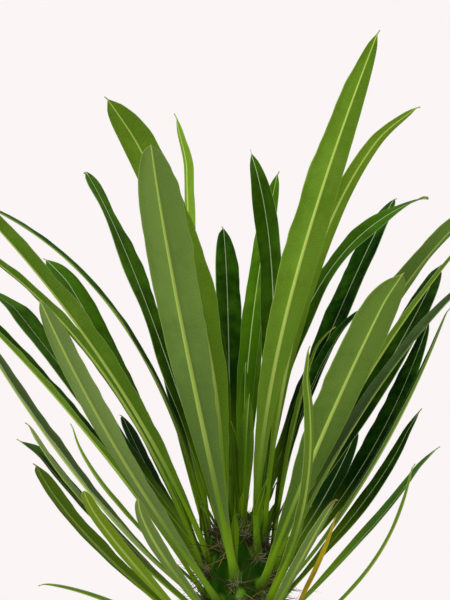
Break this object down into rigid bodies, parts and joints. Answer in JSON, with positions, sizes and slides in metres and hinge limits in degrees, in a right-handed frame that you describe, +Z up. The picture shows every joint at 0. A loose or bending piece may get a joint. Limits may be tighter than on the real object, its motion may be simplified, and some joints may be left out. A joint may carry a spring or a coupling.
{
  "type": "potted madagascar palm",
  "caption": "Madagascar palm with a spiny tapering stem and a crown of long strap leaves, standing in a plain round clay pot.",
  "frame": {"origin": "middle of the pot's underside", "axes": "+Z up along the stem; -Y towards the viewer of the front; +X to that viewer's right"},
  "size_m": [0.2783, 0.3226, 0.6421],
  "materials": {
    "clay": "matt unglazed terracotta, slightly chalky",
    "soil": "gritty potting soil with small stones",
    "bark": "grey-green bark with brown spines, greener at the crown",
    "leaf": "glossy dark green above, matt paler green below, pale midrib",
    "young_leaf": "fresh light green, semi-gloss",
    "ageing_leaf": "yellowing olive, dry"
  },
  "bodies": {
    "root": {"pot": "clay", "soil": "soil", "stem": "bark", "leaf_01": "young_leaf", "leaf_02": "leaf", "leaf_03": "leaf", "leaf_04": "young_leaf", "leaf_05": "leaf", "leaf_06": "leaf", "leaf_07": "leaf", "leaf_08": "leaf", "leaf_09": "young_leaf", "leaf_10": "young_leaf", "leaf_11": "young_leaf", "leaf_12": "leaf", "leaf_13": "leaf", "leaf_14": "leaf", "leaf_15": "leaf", "leaf_16": "leaf", "leaf_17": "leaf", "leaf_18": "leaf", "leaf_19": "leaf", "leaf_20": "leaf", "leaf_21": "leaf", "leaf_22": "leaf", "leaf_23": "leaf", "leaf_24": "leaf", "leaf_25": "leaf", "leaf_26": "young_leaf", "leaf_27": "leaf", "leaf_28": "leaf", "leaf_29": "leaf", "leaf_30": "leaf", "leaf_31": "leaf", "leaf_32": "leaf", "leaf_33": "leaf", "leaf_34": "leaf", "leaf_35": "leaf", "leaf_36": "leaf", "leaf_37": "leaf", "leaf_38": "leaf", "leaf_39": "leaf", "leaf_40": "leaf", "leaf_41": "leaf", "leaf_42": "leaf", "leaf_43": "leaf", "leaf_44": "ageing_leaf", "leaf_45": "leaf", "leaf_46": "leaf", "leaf_47": "leaf", "leaf_48": "leaf", "leaf_49": "leaf", "leaf_50": "leaf", "leaf_51": "young_leaf", "leaf_52": "young_leaf", "leaf_53": "young_leaf", "leaf_54": "young_leaf", "leaf_55": "young_leaf", "leaf_56": "young_leaf"}
  },
  "joints": []
}
